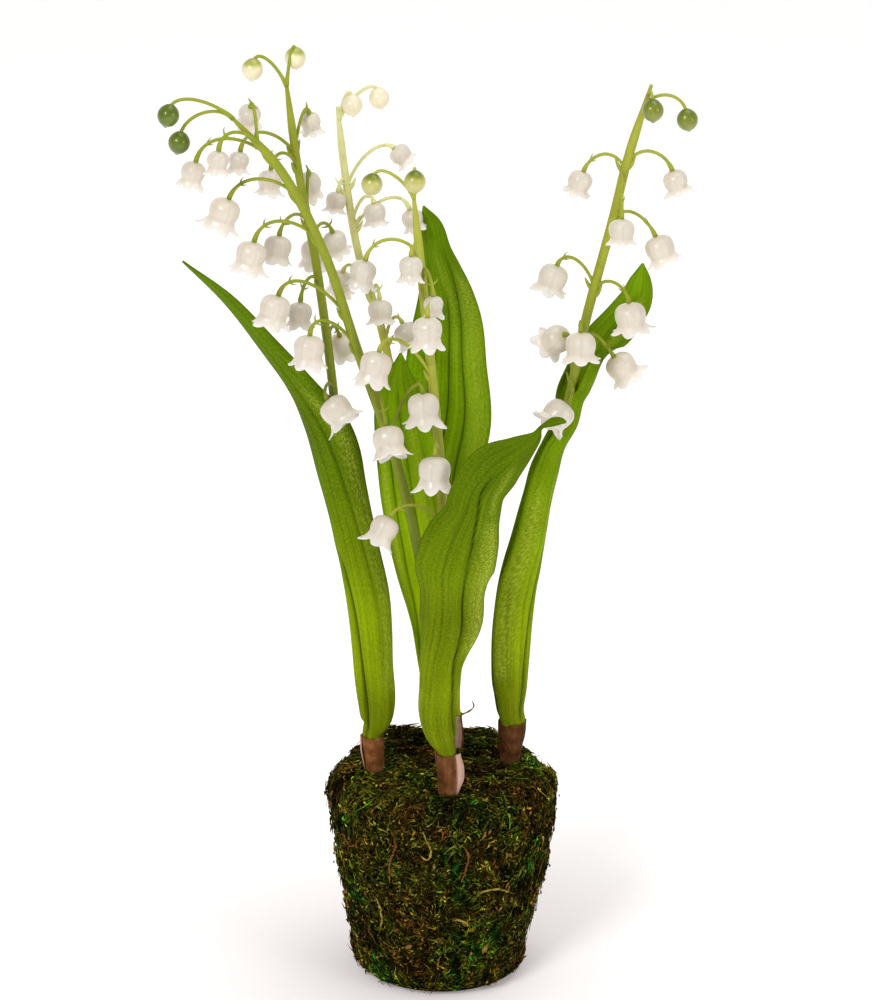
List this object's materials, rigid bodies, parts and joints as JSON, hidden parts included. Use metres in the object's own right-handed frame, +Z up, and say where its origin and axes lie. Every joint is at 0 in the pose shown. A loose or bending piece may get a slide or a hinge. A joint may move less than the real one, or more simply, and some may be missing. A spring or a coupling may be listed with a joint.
{
  "type": "potted lily of the valley",
  "caption": "Artificial lily of the valley: bell flowers on arching stalks with long rolled leaves, planted in a tapered block covered in moss. Free-standing table decoration.",
  "frame": {"origin": "centre of the block's flat underside", "axes": "+Z up, -Y towards the front of the plant, +X to the right seen from the front"},
  "size_m": [0.1544, 0.0864, 0.29],
  "materials": {
    "foam": "matte",
    "moss": "matte",
    "tape": "matte",
    "leaf": "satin",
    "stalk": "satin",
    "bell": "gloss"
  },
  "bodies": {
    "root": {"foam_core": "foam", "moss_wrap": "moss", "tape_left": "tape", "leaf_left": "leaf", "stalk_left": "stalk", "bell_left_1": "bell", "bell_left_2": "bell", "bell_left_3": "bell", "bell_left_4": "bell", "bell_left_5": "bell", "bell_left_6": "bell", "bell_left_7": "bell", "bell_left_8": "bell", "bell_left_9": "bell", "bell_left_10": "bell", "tape_front": "tape", "leaf_front": "leaf", "stalk_front": "stalk", "bell_front_1": "bell", "bell_front_2": "bell", "bell_front_3": "bell", "bell_front_4": "bell", "bell_front_5": "bell", "bell_front_6": "bell", "bell_front_7": "bell", "tape_right": "tape", "leaf_right": "leaf", "stalk_right": "stalk", "bell_right_1": "bell", "bell_right_2": "bell", "bell_right_3": "bell", "bell_right_4": "bell", "bell_right_5": "bell", "bell_right_6": "bell", "bell_right_7": "bell", "bell_right_8": "bell", "bell_right_9": "bell", "bell_right_10": "bell", "tape_back": "tape", "leaf_back": "leaf", "stalk_back": "stalk", "bell_back_1": "bell", "bell_back_2": "bell", "bell_back_3": "bell", "bell_back_4": "bell", "bell_back_5": "bell", "bell_back_6": "bell", "bell_back_7": "bell", "tape_middle": "tape", "leaf_middle": "leaf", "stalk_middle": "stalk", "bell_middle_1": "bell", "bell_middle_2": "bell", "bell_middle_3": "bell", "bell_middle_4": "bell", "bell_middle_5": "bell", "bell_middle_6": "bell", "bell_middle_7": "bell", "bell_middle_8": "bell", "bell_middle_9": "bell"}
  },
  "joints": []
}
